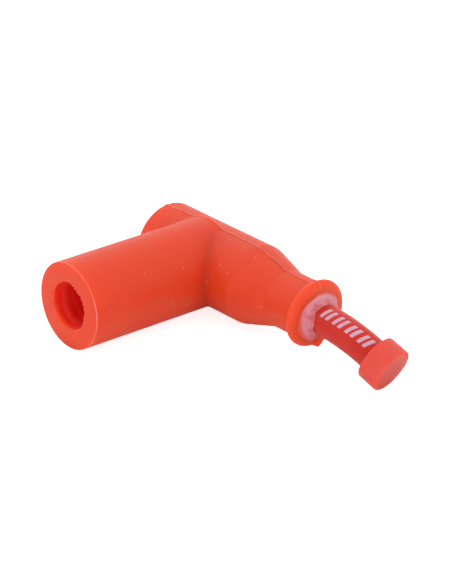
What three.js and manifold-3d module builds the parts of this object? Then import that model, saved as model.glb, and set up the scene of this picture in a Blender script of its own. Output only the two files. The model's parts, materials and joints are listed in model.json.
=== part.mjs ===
// A spark plug cap with a short ignition wire, in millimetres.
// A red silicone L-shaped boot holds a hard core with the plug contact, the resistor and the wire screw.
// The model is built around the point on the socket leg's axis where the wire leg crosses it:
// the wire leg runs along +X and a little lower, the socket leg along -Y, and +Z is up.

import * as THREE from 'three';
import { mergeVertices } from 'three/addons/utils/BufferGeometryUtils.js';
import Module from 'manifold-3d';

const wasm = await Module();
wasm.setup();

// Clearance between neighbouring pieces, and how far a cut runs past the face it opens
const gap = 0.3;
const overrun = 1;

// Boot, outside
const socketLength = 38.24;
const socketMouthRadius = 9.65;
const socketRootRadius = 9.62;
const wireLegRadius = 8.87;
const wireLegDrop = 0.3;
const closedEndLength = 13.78;
const closedEndEdge = 0.35;
const wireLegLength = 16.4;
const coneLength = 9.2;
const neckRadius = 6.26;
const neckLength = 7.52;
const lipRadius = 7.61;
const lipRadialWidth = 6.34;
const lipThickness = 3.02;
const lipTilt = 0.09;

// Boot, inside
const boreRadius = 5.34;
const boreRibHeight = 0.3;
const boreGrooveDepth = 0.5;
const boreGrooveWidth = 0.9;
const boreRibWidth = 1.4;
const boreRibPitch = 2.9;
const boreRibCount = 3;
const boreMouthBand = 1.9;
const closedEndWall = 4.48;

// Hard core
const coreRadius = 6.3;
const coreWireLength = 16.6;
const wireEntryDepth = 8.3;

// Plug contact
const terminalRadius = 3.3;
const sleeveWall = 0.9;
const sleeveLength = 9.6;
const sleeveFloor = 1;
const sleeveSlotWidth = 0.9;
const sleeveSlotLength = 6.6;
const ringWireRadius = 0.4;
const ringFromMouth = 3.2;
const ringOpenAngle = 0.7;
const springRadius = 1.9;
const springWireRadius = 0.28;
const springLength = 2;
const springTurns = 2.5;

// Resistor
const resistorRadius = 2;
const resistorLength = 5.5;
const resistorCapWall = 0.45;
const resistorCapLength = 2;

// Folded strip in the elbow
const stripThickness = 0.8;
const stripWidth = 5;
const stripScrewOffset = 3.2;
const stripResistorOffset = 3.6;
const stripTopLength = 2.6;
const stripSideLength = 3;

// Wire screw
const screwHeadRadius = 2.1;
const screwHeadLength = 1.2;
const screwShankRadius = 0.95;
const screwThreadRadius = 1.3;
const screwThreadStart = 5.6;
const screwThreadPitch = 1.7;
const screwThreadTurns = 7;
const screwTipLength = 1.6;

// Ignition wire
const wireRadius = 3.5;
const wireJacketWall = 0.9;
const conductorRadius = 0.95;

// Places on the wire's centre line past the boot's neck, as x, y and z
const wireRoute = [
  [29.93, 0, -0.3], [33.76, 0, -0.47], [37.38, 0, -0.72], [40.71, 0.05, -0.95], [43.93, 0.2, -1.45],
  [47.05, 0.48, -2.23], [49.68, 0.8, -3.13], [52.1, 1.13, -4.14], [55.43, 1.71, -5.7],
];

// Sealant ring
const sealantRadius = 5.45;
const sealantLength = 1.4;
const sealantFillet = 0.9;

// End cap
const endCapRadius = 5.13;
const endCapLength = 4.9;
const endCapFloor = 1.1;
const endCapEdge = 0.3;

// Facets of the round shapes
const legSides = 48;
const innerSides = 32;
const smallSides = 20;
const thinSides = 8;
const beadSteps = 16;
const wireSteps = 18;

// Places worked out from the dimensions above
const coneEnd = wireLegLength + coneLength;
const neckEnd = coneEnd + neckLength;
const lipCentre = neckEnd + lipThickness / 2;
const resistorCapRadius = resistorRadius + gap + resistorCapWall;
const wireCapBack = stripResistorOffset + stripThickness + gap;
const resistorBack = wireCapBack + resistorCapWall + gap;
const resistorFront = resistorBack + resistorLength;
const plugCapFront = resistorFront + gap + resistorCapWall;
const springBack = plugCapFront + gap;
const springFront = springBack + springLength;
const sleeveBack = springFront + gap;
const sleeveMouth = sleeveBack + sleeveLength;
const sleeveRadius = terminalRadius + sleeveWall;
const ringRadius = sleeveRadius - sleeveWall / 2 + gap + ringWireRadius;
const sleeveRoomRadius = ringRadius + ringWireRadius + gap;
const coreSocketLength = sleeveMouth + gap;
const coreBack = closedEndLength - closedEndWall - gap;
const screwHeadBack = stripScrewOffset - gap - screwHeadLength;
const screwThreadEnd = screwThreadStart + screwThreadPitch * screwThreadTurns;
const screwTip = screwThreadEnd + screwTipLength;
const insulationOuter = wireRadius - wireJacketWall - gap;
const wireEnd = new THREE.Vector3(...wireRoute.at(-1));

// Materials
const redSilicone = new THREE.MeshStandardMaterial({ color: 0xe84c33, roughness: 0.55 });
const redWireJacket = new THREE.MeshStandardMaterial({ color: 0xd64d43, roughness: 0.5 });
const redEndCap = new THREE.MeshStandardMaterial({ color: 0xf06456, roughness: 0.55 });
const clearSealant = new THREE.MeshStandardMaterial({ color: 0xda8994, roughness: 0.35 });
const darkPhenolic = new THREE.MeshStandardMaterial({ color: 0x2a2320, roughness: 0.6 });
const brass = new THREE.MeshStandardMaterial({ color: 0xc9a24a, roughness: 0.35, metalness: 1 });
const springSteel = new THREE.MeshStandardMaterial({ color: 0xb9bcc0, roughness: 0.3, metalness: 1 });
const whiteCeramic = new THREE.MeshStandardMaterial({ color: 0xe9e2d2, roughness: 0.5 });
const paleInsulation = new THREE.MeshStandardMaterial({ color: 0xd8d2c6, roughness: 0.7 });
const tinnedCopper = new THREE.MeshStandardMaterial({ color: 0xb98a63, roughness: 0.4, metalness: 1 });

// A closed geometry as a solid that can be cut and joined
function solidOf(geometry) {
  const bare = geometry.clone();
  bare.deleteAttribute('normal');
  bare.deleteAttribute('uv');
  const merged = mergeVertices(bare, 1e-4);
  return new wasm.Manifold(new wasm.Mesh({
    numProp: 3,
    vertProperties: merged.attributes.position.array,
    triVerts: new Uint32Array(merged.index.array),
  }));
}

// The solid's faces as a geometry again
function geometryOf(solid) {
  const mesh = solid.getMesh();
  const geometry = new THREE.BufferGeometry();
  geometry.setAttribute('position', new THREE.BufferAttribute(mesh.vertProperties, 3));
  geometry.setIndex(new THREE.BufferAttribute(mesh.triVerts, 1));
  geometry.computeVertexNormals();
  return geometry;
}

// A turned shape about X, from [radius, x] pairs, with a flat of its sides facing down
function turnedAlongX(profile, sides) {
  const points = profile.map(([radius, x]) => new THREE.Vector2(radius, x));
  const geometry = new THREE.LatheGeometry(points, sides, Math.PI / sides);
  return geometry.rotateZ(-Math.PI / 2);
}

// A turned shape about the socket leg's axis, from [radius, depth] pairs, depth growing along -Y
function turnedAlongSocket(profile, sides) {
  const points = profile.map(([radius, depth]) => new THREE.Vector2(radius, depth));
  const geometry = new THREE.LatheGeometry(points, sides, Math.PI / sides);
  return geometry.rotateX(Math.PI);
}

// A plain rod as a profile, from one end to the other
function rod(radius, start, end) {
  return [[0, start], [radius, start], [radius, end], [0, end]];
}

// A cup as a profile: a floor at one end and a wall round the other
function cup(outer, inner, floorBack, floorFront, rim) {
  return [
    [0, floorBack], [outer, floorBack], [outer, rim], [inner, rim], [inner, floorFront], [0, floorFront],
  ];
}

function box(xMin, xMax, yMin, yMax, zMin, zMax) {
  const geometry = new THREE.BoxGeometry(xMax - xMin, yMax - yMin, zMax - zMin);
  return geometry.translate((xMin + xMax) / 2, (yMin + yMax) / 2, (zMin + zMax) / 2);
}

function circle(radius) {
  return new THREE.Shape().absarc(0, 0, radius, 0, 2 * Math.PI);
}

// The wire's centre line: straight in the core and the neck, then drooping to the end cap
function wireLine() {
  const straight = [[wireEntryDepth, 0, 0], [(wireEntryDepth + coneEnd) / 2, 0, 0], [coneEnd, 0, 0]];
  const points = [...straight, ...wireRoute].map((place) => new THREE.Vector3(...place));
  return new THREE.CatmullRomCurve3(points);
}

// A round tube or rod along the wire's centre line
function alongWire(outer, inner, sides) {
  const section = circle(outer);
  if (inner > 0) section.holes.push(circle(inner));
  return new THREE.ExtrudeGeometry(section, {
    steps: wireSteps,
    curveSegments: sides / 2,
    bevelEnabled: false,
    extrudePath: wireLine(),
  });
}

// The outline of the wire leg: closed end, straight leg, cone and neck
function wireLegProfile() {
  return [
    [0, -closedEndLength],
    [wireLegRadius - closedEndEdge, -closedEndLength],
    [wireLegRadius, -closedEndLength + closedEndEdge],
    [wireLegRadius, wireLegLength],
    [neckRadius, coneEnd],
    [neckRadius, lipCentre],
    [0, lipCentre],
  ];
}

// A shape made about the lip's centre, put in its place with the lip's lean
function onLip(geometry) {
  return geometry.rotateY(lipTilt).translate(lipCentre, 0, -wireLegDrop);
}

// The rolled lip: a bead of oval section, leaning a little forward at its top
function lipBead() {
  const points = [];
  const centreRadius = lipRadius - lipRadialWidth / 2;
  for (let i = 0; i <= beadSteps; i++) {
    const turn = (2 * Math.PI * i) / beadSteps;
    points.push([
      centreRadius - (lipRadialWidth / 2) * Math.cos(turn),
      -(lipThickness / 2) * Math.sin(turn),
    ]);
  }
  return onLip(turnedAlongX(points, legSides));
}

// The open bore of the socket: a plain band at the mouth, then grooves and sealing ribs in turn
function boreProfile() {
  const deepEnd = coreSocketLength + gap;
  const ribTop = boreRadius - boreRibHeight;
  const grooveFloor = boreRadius + boreGrooveDepth;
  const profile = [[0, deepEnd], [boreRadius, deepEnd]];
  for (let i = boreRibCount - 1; i >= 0; i--) {
    const grooveFront = socketLength - boreMouthBand - boreRibPitch * i;
    const ribFront = grooveFront - boreGrooveWidth;
    const ribBack = ribFront - boreRibWidth;
    profile.push([boreRadius, ribBack], [ribTop, ribBack + boreRibHeight], [ribTop, ribFront]);
    profile.push([grooveFloor, ribFront + boreRibHeight], [grooveFloor, grooveFront]);
    profile.push([boreRadius, grooveFront]);
  }
  profile.push([boreRadius, socketLength + overrun], [0, socketLength + overrun]);
  return profile;
}

// The boot, hollowed for the core, the plug and the wire
function bootJacket() {
  const socketLeg = [
    [0, 0], [socketRootRadius, 0], [socketMouthRadius, socketLength], [0, socketLength],
  ];
  const coreRoomRadius = coreRadius + gap;
  const wireLeg = turnedAlongX(wireLegProfile(), legSides).translate(0, 0, -wireLegDrop);
  const outside = solidOf(wireLeg)
    .add(solidOf(turnedAlongSocket(socketLeg, legSides)))
    .add(solidOf(lipBead()));
  const coreRoomX = rod(coreRoomRadius, -coreBack - gap, coreWireLength + gap);
  const coreRoomY = rod(coreRoomRadius, 0, coreSocketLength + gap);
  const wireTunnel = alongWire(wireRadius + gap, 0, innerSides);
  return outside
    .subtract(solidOf(turnedAlongX(coreRoomX, innerSides)))
    .subtract(solidOf(turnedAlongSocket(coreRoomY, innerSides)))
    .subtract(solidOf(turnedAlongSocket(boreProfile(), innerSides)))
    .subtract(solidOf(wireTunnel));
}

// The hard core, with rooms for the contact, the resistor, the strip, the screw and the wire
function insulatorCore() {
  const legs = solidOf(turnedAlongX(rod(coreRadius, -coreBack, coreWireLength), innerSides))
    .add(solidOf(turnedAlongSocket(rod(coreRadius, 0, coreSocketLength), innerSides)));
  const sleeveRoom = rod(sleeveRoomRadius, sleeveBack - gap, coreSocketLength + overrun);
  const resistorRoom = rod(resistorCapRadius + gap, stripResistorOffset, sleeveBack);
  const wireRoom = rod(wireRadius + gap, wireEntryDepth - gap, coreWireLength + overrun);
  const screwRoom = rod(screwThreadRadius + gap, stripScrewOffset, wireEntryDepth);
  const stripRoom = box(
    -stripSideLength - gap, stripScrewOffset + stripThickness + gap,
    -stripResistorOffset - stripThickness - gap, stripTopLength + gap,
    -stripWidth / 2 - gap, stripWidth / 2 + gap,
  );
  return legs
    .subtract(solidOf(turnedAlongSocket(sleeveRoom, smallSides)))
    .subtract(solidOf(turnedAlongSocket(resistorRoom, smallSides)))
    .subtract(solidOf(turnedAlongX(wireRoom, innerSides)))
    .subtract(solidOf(turnedAlongX(screwRoom, smallSides)))
    .subtract(solidOf(stripRoom));
}

// The slotted sleeve, with the ring's groove round its mouth end
function contactSleeve() {
  const grooveMiddle = sleeveMouth - ringFromMouth;
  const grooveHalf = ringWireRadius + gap;
  const grooveRadius = sleeveRadius - sleeveWall / 2;
  const profile = [
    [0, sleeveBack],
    [sleeveRadius, sleeveBack],
    [sleeveRadius, grooveMiddle - grooveHalf],
    [grooveRadius, grooveMiddle - grooveHalf],
    [grooveRadius, grooveMiddle + grooveHalf],
    [sleeveRadius, grooveMiddle + grooveHalf],
    [sleeveRadius, sleeveMouth],
    [terminalRadius, sleeveMouth],
    [terminalRadius, sleeveBack + sleeveFloor],
    [0, sleeveBack + sleeveFloor],
  ];
  const reach = sleeveRadius + overrun;
  const half = sleeveSlotWidth / 2;
  const slotBack = sleeveMouth - sleeveSlotLength;
  const slotFront = sleeveMouth + overrun;
  const slotAcrossX = box(-reach, reach, -slotFront, -slotBack, -half, half);
  const slotAcrossZ = box(-half, half, -slotFront, -slotBack, -reach, reach);
  return solidOf(turnedAlongSocket(profile, smallSides))
    .subtract(solidOf(slotAcrossX))
    .subtract(solidOf(slotAcrossZ));
}

// The open spring ring in the sleeve's groove
class RingLine extends THREE.Curve {
  getPoint(t) {
    const angle = ringOpenAngle / 2 + t * (2 * Math.PI - ringOpenAngle);
    const depth = sleeveMouth - ringFromMouth;
    return new THREE.Vector3(ringRadius * Math.cos(angle), -depth, ringRadius * Math.sin(angle));
  }
}

// The coil between the sleeve and the resistor
class SpringLine extends THREE.Curve {
  getPoint(t) {
    const angle = 2 * Math.PI * springTurns * t;
    const start = springBack + springWireRadius;
    const depth = start + t * (springLength - 2 * springWireRadius);
    return new THREE.Vector3(springRadius * Math.cos(angle), -depth, springRadius * Math.sin(angle));
  }
}

function roundWire(line, radius, steps) {
  return new THREE.ExtrudeGeometry(circle(radius), {
    steps,
    curveSegments: thinSides / 2,
    bevelEnabled: false,
    extrudePath: line,
  });
}

// The folded strip: one arm on the screw, one arm under the resistor
function elbowContact() {
  const outerX = stripScrewOffset + stripThickness;
  const outerY = -stripResistorOffset - stripThickness;
  const outline = new THREE.Shape();
  outline.moveTo(stripScrewOffset, stripTopLength);
  outline.lineTo(stripScrewOffset, -stripResistorOffset);
  outline.lineTo(-stripSideLength, -stripResistorOffset);
  outline.lineTo(-stripSideLength, outerY);
  outline.lineTo(outerX, outerY);
  outline.lineTo(outerX, stripTopLength);
  const strip = new THREE.ExtrudeGeometry(outline, { depth: stripWidth, bevelEnabled: false });
  strip.translate(0, 0, -stripWidth / 2);
  const hole = rod(screwShankRadius + gap, stripScrewOffset - overrun, outerX + overrun);
  return solidOf(strip).subtract(solidOf(turnedAlongX(hole, smallSides)));
}

// The wire screw: head, shank, sharp thread rings and point
function wireScrewProfile() {
  const profile = [
    [0, screwHeadBack],
    [screwHeadRadius, screwHeadBack],
    [screwHeadRadius, screwHeadBack + screwHeadLength],
    [screwShankRadius, screwHeadBack + screwHeadLength],
  ];
  for (let i = 0; i < screwThreadTurns; i++) {
    const start = screwThreadStart + i * screwThreadPitch;
    profile.push([screwShankRadius, start], [screwThreadRadius, start + screwThreadPitch / 2]);
  }
  profile.push([screwShankRadius, screwThreadEnd], [0, screwTip]);
  return profile;
}

// The insulation, opened up round the wire screw
function wireInsulation() {
  const screwBore = rod(screwThreadRadius + gap, 0, screwTip + gap);
  return solidOf(alongWire(insulationOuter, conductorRadius + gap, smallSides))
    .subtract(solidOf(turnedAlongX(screwBore, smallSides)));
}

// The conductor, which starts where the screw's point ends
function wireConductor() {
  const reach = 2 * wireRadius;
  const screwStretch = box(0, screwTip + gap, -reach, reach, -reach, reach);
  return solidOf(alongWire(conductorRadius, 0, thinSides)).subtract(solidOf(screwStretch));
}

// The sealant ring on the lip's leaning face, with its own face dished up to the wire
function wireSealant() {
  const back = lipThickness / 2 + gap;
  const front = back + sealantLength;
  const profile = [
    [0, back],
    [sealantRadius, back],
    [sealantRadius, front - sealantFillet],
    [(sealantRadius + wireRadius) / 2, front - sealantFillet / 3],
    [wireRadius, front],
    [0, front],
  ];
  const ring = onLip(turnedAlongX(profile, innerSides));
  return solidOf(ring).subtract(solidOf(alongWire(wireRadius + gap, 0, innerSides)));
}

// The end cap in its own frame: x grows towards its closed face, and the wire ends at x = 0
function endCapProfile() {
  const face = gap + endCapFloor;
  const rim = face - endCapLength;
  const inner = wireRadius + gap;
  return [
    [0, gap],
    [inner, gap],
    [inner, rim],
    [endCapRadius - endCapEdge, rim],
    [endCapRadius, rim + endCapEdge],
    [endCapRadius, face - endCapEdge],
    [endCapRadius - endCapEdge, face],
    [0, face],
  ];
}

function mesh(name, geometry, material) {
  const made = new THREE.Mesh(geometry, material);
  made.name = name;
  return made;
}

// The boot and everything in it
function cap() {
  const made = new THREE.Group();
  const wireCap = cup(resistorCapRadius, resistorRadius + gap, wireCapBack,
    wireCapBack + resistorCapWall, wireCapBack + resistorCapLength);
  const plugCap = cup(resistorCapRadius, resistorRadius + gap, plugCapFront,
    plugCapFront - resistorCapWall, plugCapFront - resistorCapLength).reverse();
  const resistor = rod(resistorRadius, resistorBack, resistorFront);
  made.add(
    mesh('boot_jacket', geometryOf(bootJacket()), redSilicone),
    mesh('insulator_core', geometryOf(insulatorCore()), darkPhenolic),
    mesh('contact_sleeve', geometryOf(contactSleeve()), brass),
    mesh('snap_ring', roundWire(new RingLine(), ringWireRadius, 40), springSteel),
    mesh('contact_spring', roundWire(new SpringLine(), springWireRadius, 50), springSteel),
    mesh('resistor_cap_plug_side', turnedAlongSocket(plugCap, smallSides), brass),
    mesh('resistor_rod', turnedAlongSocket(resistor, smallSides), whiteCeramic),
    mesh('resistor_cap_wire_side', turnedAlongSocket(wireCap, smallSides), brass),
    mesh('elbow_contact', geometryOf(elbowContact()), brass),
    mesh('wire_screw', turnedAlongX(wireScrewProfile(), smallSides), brass),
  );
  return made;
}

// The wire, its sealant and its end cap
function wire() {
  const made = new THREE.Group();
  const endCap = mesh('end_cap', turnedAlongX(endCapProfile(), innerSides), redEndCap);
  const wireLegAxis = new THREE.Vector3(1, 0, 0);
  endCap.position.copy(wireEnd);
  endCap.quaternion.setFromUnitVectors(wireLegAxis, wireLine().getTangentAt(1));
  made.add(
    mesh('wire_jacket', alongWire(wireRadius, wireRadius - wireJacketWall, innerSides), redWireJacket),
    mesh('wire_insulation', geometryOf(wireInsulation()), paleInsulation),
    mesh('wire_conductor', geometryOf(wireConductor()), tinnedCopper),
    mesh('wire_sealant', geometryOf(wireSealant()), clearSealant),
    endCap,
  );
  return made;
}

// The lowest point of what a group holds, in the group's own frame
function lowestPoint(made) {
  const lowest = new THREE.Vector3(0, 0, Infinity);
  const point = new THREE.Vector3();
  made.updateMatrixWorld(true);
  made.traverse((piece) => {
    if (!piece.isMesh) return;
    const places = piece.geometry.getAttribute('position');
    for (let i = 0; i < places.count; i++) {
      point.fromBufferAttribute(places, i).applyMatrix4(piece.matrixWorld);
      if (point.z < lowest.z) lowest.copy(point);
    }
  });
  return lowest;
}

// The boot leans back until the socket leg and the end cap lie on one level
const boot = cap();
const lead = wire();
const bootLow = lowestPoint(boot);
const leadLow = lowestPoint(lead);
const model = new THREE.Group();
model.add(boot, lead);
model.rotation.y = Math.atan2(leadLow.z - bootLow.z, leadLow.x);

// The part lies on z = 0 with its origin at the middle of its footprint
const extent = new THREE.Box3().setFromObject(model, true);
const middle = extent.getCenter(new THREE.Vector3());
model.position.set(-middle.x, -middle.y, -extent.min.z);

const group = new THREE.Group();
group.add(model);

export default group;
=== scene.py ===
import json
import math

import bpy
import numpy as np
from mathutils import Matrix, Vector


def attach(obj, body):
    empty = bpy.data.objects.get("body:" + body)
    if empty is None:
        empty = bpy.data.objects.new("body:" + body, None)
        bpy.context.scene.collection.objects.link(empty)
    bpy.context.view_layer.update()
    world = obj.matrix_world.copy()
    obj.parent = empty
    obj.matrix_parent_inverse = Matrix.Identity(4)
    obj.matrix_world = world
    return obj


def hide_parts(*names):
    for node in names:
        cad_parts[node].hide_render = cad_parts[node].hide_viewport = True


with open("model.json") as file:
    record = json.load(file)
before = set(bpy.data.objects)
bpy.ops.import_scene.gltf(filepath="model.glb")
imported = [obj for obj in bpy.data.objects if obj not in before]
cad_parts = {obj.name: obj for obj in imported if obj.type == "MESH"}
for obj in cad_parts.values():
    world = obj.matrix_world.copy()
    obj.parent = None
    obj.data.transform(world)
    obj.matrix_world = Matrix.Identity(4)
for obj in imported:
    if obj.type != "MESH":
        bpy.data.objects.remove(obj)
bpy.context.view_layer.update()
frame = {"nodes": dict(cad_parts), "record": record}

# The boot, in millimetres about the point on the socket leg's axis where the wire leg crosses it
MM = 0.001
SOCKET_LENGTH = 38.24
SOCKET_MOUTH_RADIUS = 9.65
SOCKET_ROOT_RADIUS = 9.62
SOCKET_BACK = 0.05
WIRE_LEG_RADIUS = 8.87
WIRE_LEG_DROP = 0.3
CLOSED_END_LENGTH = 13.78
CONE_START = 16.4
CONE_END = 25.6
NECK_RADIUS = 6.26
LIP_CENTRE = 34.63
LIP_RADIUS = 7.61
LIP_RADIAL_WIDTH = 6.34
LIP_THICKNESS = 3.02
LIP_LEAN = 0.09
LEG_FILLET = 0.5
STEP_ROUNDING = 0.3
CONE_START_ROUNDING = 0.16
CONE_END_ROUNDING = 0.12
CORE_ROOM_RADIUS = 6.6
CORE_ROOM_BACK = 9.3
CORE_ROOM_FRONT = 16.9
CORE_ROOM_DEPTH = 24.5
BORE_RADIUS = 5.34
MOUTH_RIM = 0.22
CLOSED_END_RIM = 0.3
CONE_SLOPE = (WIRE_LEG_RADIUS - NECK_RADIUS) / (CONE_END - CONE_START)

# How the boot is made: the spare length that is cut off its ends, and the fineness of its skin and cutters
TRIM = 1.0
CONE_REACH = 9
REMESH_SIZE = 0.27
SETTLE_MARGIN = 0.3
SETTLE_ROUNDS = 8
SETTLE_PROBE = 0.01
SETTLE_LEAST_SLOPE = 0.25
LEG_SIDES = 96
LIP_SIDES = 144
LIP_RING_SIDES = 56
ROOM_SIDES = 64
BORE_SIDES = 240
TOOL_SIDES = 144
TOOL_RIM_POINTS = 6
TOOL_CLEARANCE = 0.05
TOOL_OVERHANG = 3
TOOL_STEPS = (1.5, 1.6)

# The moulding fin
FIN_HEIGHT = 0.16
FIN_THICKNESS = 0.26
FIN_ROUNDING = 0.08
FIN_WAVE = 0.04
FIN_WAVE_RATES = (1.9, 0.53)
FIN_POINTS = 200
FIN_END = 0.3
FIN_END_FALL = 1.2
FIN_ELBOW_ROUNDING = 0.5
FIN_OVER_LIP = 0.06
FIN_PAST_LIP = 0.1
FIN_NOSE = (0.25, 4.4)

# How the parting line strays from the middle plane: by how much, and where along the wire leg and in its skin
DRIFT_AT_CLOSED_END = 0.7
DRIFT_END_START = -4.0
DRIFT_END_LENGTH = 9.8
DRIFT_ON_CONE = 0.5
DRIFT_CONE_CENTRE = 23.0
DRIFT_CONE_WIDTH = 2.0
DRIFT_CONE_SOFTNESS = 9.0
DRIFT_SPREAD = 2.5
DRIFT_SKIN_RADIUS = 6.0
DRIFT_SKIN_SOFTNESS = 0.2

# The torn tag of flash under the lip
TAG_THICKNESS = 0.3
TAG_ROUNDING = 0.1
TAG_OUTLINE = [
    (34.0, -6.94), (34.94, -7.75), (35.54, -7.83), (36.14, -7.63), (36.59, -7.08), (37.14, -6.39), (37.48, -5.64),
    (37.93, -5.19), (38.33, -4.74), (38.32, -3.95), (34.0, -3.95),
]

# The bore's radius at each depth, from inside to the mouth
BORE_STATIONS = [
    (5.34, 24.4), (5.34, 31.2), (5.31, 31.7), (5.27, 32.1), (5.26, 32.4), (5.28, 32.7), (5.33, 33.1), (5.33, 33.5),
    (5.28, 33.8), (5.18, 34.1), (5.1, 34.4), (5.06, 34.7), (5.05, 35.0), (5.07, 35.25), (5.12, 35.5), (5.19, 35.75),
    (5.26, 35.95), (5.3, 36.15), (5.32, 36.35), (5.3, 36.55), (5.26, 36.72), (5.22, 36.9), (5.2, 37.1), (5.2, 37.76),
    (5.22, 37.91), (5.28, 38.05), (5.36, 38.15), (5.46, 38.21), (5.5, 38.25), (5.5, 39.01),
]

# The torn nicks round the mouth, as angles and heights, to which the rounded edge's own height is added
NICKS = [
    (1.32, 0.15), (1.14, 0.35), (0.955, 0.42), (0.83, 0.3), (0.6, 0.14), (0.42, 0.1), (0.2, 0.12), (-0.05, 0.1),
    (-0.19, 0.28), (-0.35, 0.12), (2.4, 0.08),
]
NICK_BASE = 0.14
NICK_WIDTH = 0.045
NICK_LENGTH = 0.45
NICK_FADE = 0.3

# The wire and its end cap
WIRE_RADIUS = 3.5
WIRE_WALL = 0.9
WIRE_STEPS = 150
WIRE_SIDES = 72
WIRE_ROUTE = [
    (8.3, 0, 0), (16.95, 0, 0), (25.6, 0, 0), (29.93, 0, -0.3), (33.76, 0, -0.47), (37.38, 0, -0.72),
    (40.71, 0.05, -0.95), (43.93, 0.2, -1.45), (47.05, 0.48, -2.23), (49.68, 0.8, -3.13), (52.1, 1.13, -4.14),
    (55.43, 1.71, -5.7),
]
ROUTE_STEPS = 400
KNOT_STEPS = 40
TUNNEL_GAP = 0.03
END_CAP_RADIUS = 5.13
END_CAP_LENGTH = 4.9
END_CAP_FLOOR = 1.1
END_CAP_BORE = 3.55
END_CAP_GAP = 0.3
END_CAP_EDGE = 0.35
END_CAP_SIDES = 96

# The sealant's radius at each distance past the lip's middle, its waves as (size, count, phase), its lumps'
# height, and where each fades in, as (start, length)
SEALANT_DROP = 0.64
SEALANT_SIDES = 144
SEALANT_STATIONS = [
    (3.2, 0.7), (3.62, 0.7), (4.9, 1.1), (5.5, 1.22), (5.66, 1.3), (5.62, 1.42), (5.45, 1.55), (5.25, 1.62),
    (5.0, 1.67), (4.75, 1.73), (4.5, 1.82), (4.3, 1.94), (4.12, 2.1), (3.97, 2.32), (3.84, 2.6), (3.74, 2.9),
    (3.65, 3.2), (3.58, 3.45), (3.52, 3.6), (3.4, 3.62), (3.3, 2.0), (3.25, 0.8),
]
SEALANT_RIM_WAVES = [(0.12, 3, 0.6), (0.08, 7, 1.9), (0.05, 13, 0)]
SEALANT_CLIMB_WAVES = [(0.22, 5, 2.2), (0.088, 11, 0.4)]
SEALANT_LUMP = 0.035
SEALANT_RIM_FADE = (4.2, 1.2)
SEALANT_CLIMB_FADE = (2.1, 1.2)
SEALANT_FACE_FADE = (1.5, 0.15)
SEALANT_INNER_FADE = (3.6, 0.3)

# The photograph's camera
IMAGE_WIDTH = 452
IMAGE_HEIGHT = 584
FOCAL_PIXELS = 3235.99
SENSOR_WIDTH = 36
ELBOW_PIXEL = (208.536, 259.123)
CAMERA_AZIMUTH = math.radians(49.728)
CAMERA_ELEVATION = math.radians(24.651)
CAMERA_ROLL = math.radians(0.438)
CAMERA_DISTANCE = 701.37


def elbow_frame():
    """The boot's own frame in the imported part: +X along the wire leg, -Y along the socket leg."""
    mounts = {mount["name"]: mount for mount in frame["record"]["mounts"]}
    closed_end = mounts["closed_end_face"]
    wire_axis = -Vector(closed_end["axis"])
    side = -Vector(mounts["plug_mouth_face"]["axis"])
    top = wire_axis.cross(side)
    origin = Vector(closed_end["pos_m"]) + (wire_axis * CLOSED_END_LENGTH + top * WIRE_LEG_DROP) * MM
    return Matrix.Translation(origin) @ Matrix((wire_axis, side, top)).transposed().to_4x4()


ELBOW = elbow_frame()


def make_camera():
    level = Vector((math.cos(CAMERA_AZIMUTH), math.sin(CAMERA_AZIMUTH), 0))
    back = Vector((
        math.sin(CAMERA_AZIMUTH) * math.cos(CAMERA_ELEVATION),
        -math.cos(CAMERA_AZIMUTH) * math.cos(CAMERA_ELEVATION),
        math.sin(CAMERA_ELEVATION),
    ))
    right = level * math.cos(CAMERA_ROLL) + back.cross(level) * math.sin(CAMERA_ROLL)
    up = back.cross(right)
    across = (ELBOW_PIXEL[0] - IMAGE_WIDTH / 2) / FOCAL_PIXELS * CAMERA_DISTANCE
    down = (ELBOW_PIXEL[1] - IMAGE_HEIGHT / 2) / FOCAL_PIXELS * CAMERA_DISTANCE
    eye = back * CAMERA_DISTANCE - right * across + up * down
    turn = Matrix((right, up, back)).transposed().to_4x4()
    camera = bpy.data.objects.new("camera", bpy.data.cameras.new("camera"))
    bpy.context.scene.collection.objects.link(camera)
    camera.data.sensor_width = SENSOR_WIDTH
    camera.data.lens = FOCAL_PIXELS / IMAGE_HEIGHT * SENSOR_WIDTH
    camera.data.clip_start = 0.01
    camera.matrix_world = ELBOW @ Matrix.Translation(eye * MM) @ turn
    bpy.context.scene.camera = camera


# Modelling helpers

def deselect_all():
    if bpy.context.object and bpy.context.object.mode != "OBJECT":
        bpy.ops.object.mode_set(mode="OBJECT")
    bpy.ops.object.select_all(action="DESELECT")


def pick(piece):
    deselect_all()
    piece.select_set(True)
    bpy.context.view_layer.objects.active = piece


def apply_modifiers(piece):
    pick(piece)
    for modifier in list(piece.modifiers):
        bpy.ops.object.modifier_apply(modifier=modifier.name)


def set_down(piece):
    """Puts a piece drawn in the boot's own frame in its place, with its object at the origin."""
    pick(piece)
    piece.matrix_world = ELBOW @ Matrix.Scale(MM, 4)
    bpy.ops.object.transform_apply(location=True, rotation=True, scale=True)


def face_outwards(piece):
    pick(piece)
    bpy.ops.object.mode_set(mode="EDIT")
    bpy.ops.mesh.select_all(action="SELECT")
    bpy.ops.mesh.remove_doubles(threshold=1e-5)
    bpy.ops.mesh.normals_make_consistent(inside=False)
    bpy.ops.object.mode_set(mode="OBJECT")


def smooth(piece, angle):
    pick(piece)
    bpy.ops.object.shade_smooth_by_angle(angle=math.radians(angle))


def round_edges(piece, width, segments):
    """Rounds every edge that turns by more than 60 degrees."""
    edges = piece.modifiers.new("edges", "BEVEL")
    edges.width = width
    edges.segments = segments
    edges.angle_limit = math.radians(60)
    apply_modifiers(piece)


def combine(piece, other, operation):
    """Joins another piece to this one, or cuts it out, and drops the other."""
    modifier = piece.modifiers.new(operation.lower(), "BOOLEAN")
    modifier.operation = operation
    modifier.solver = "EXACT"
    modifier.object = other
    apply_modifiers(piece)
    bpy.data.objects.remove(other)
    return piece


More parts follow.
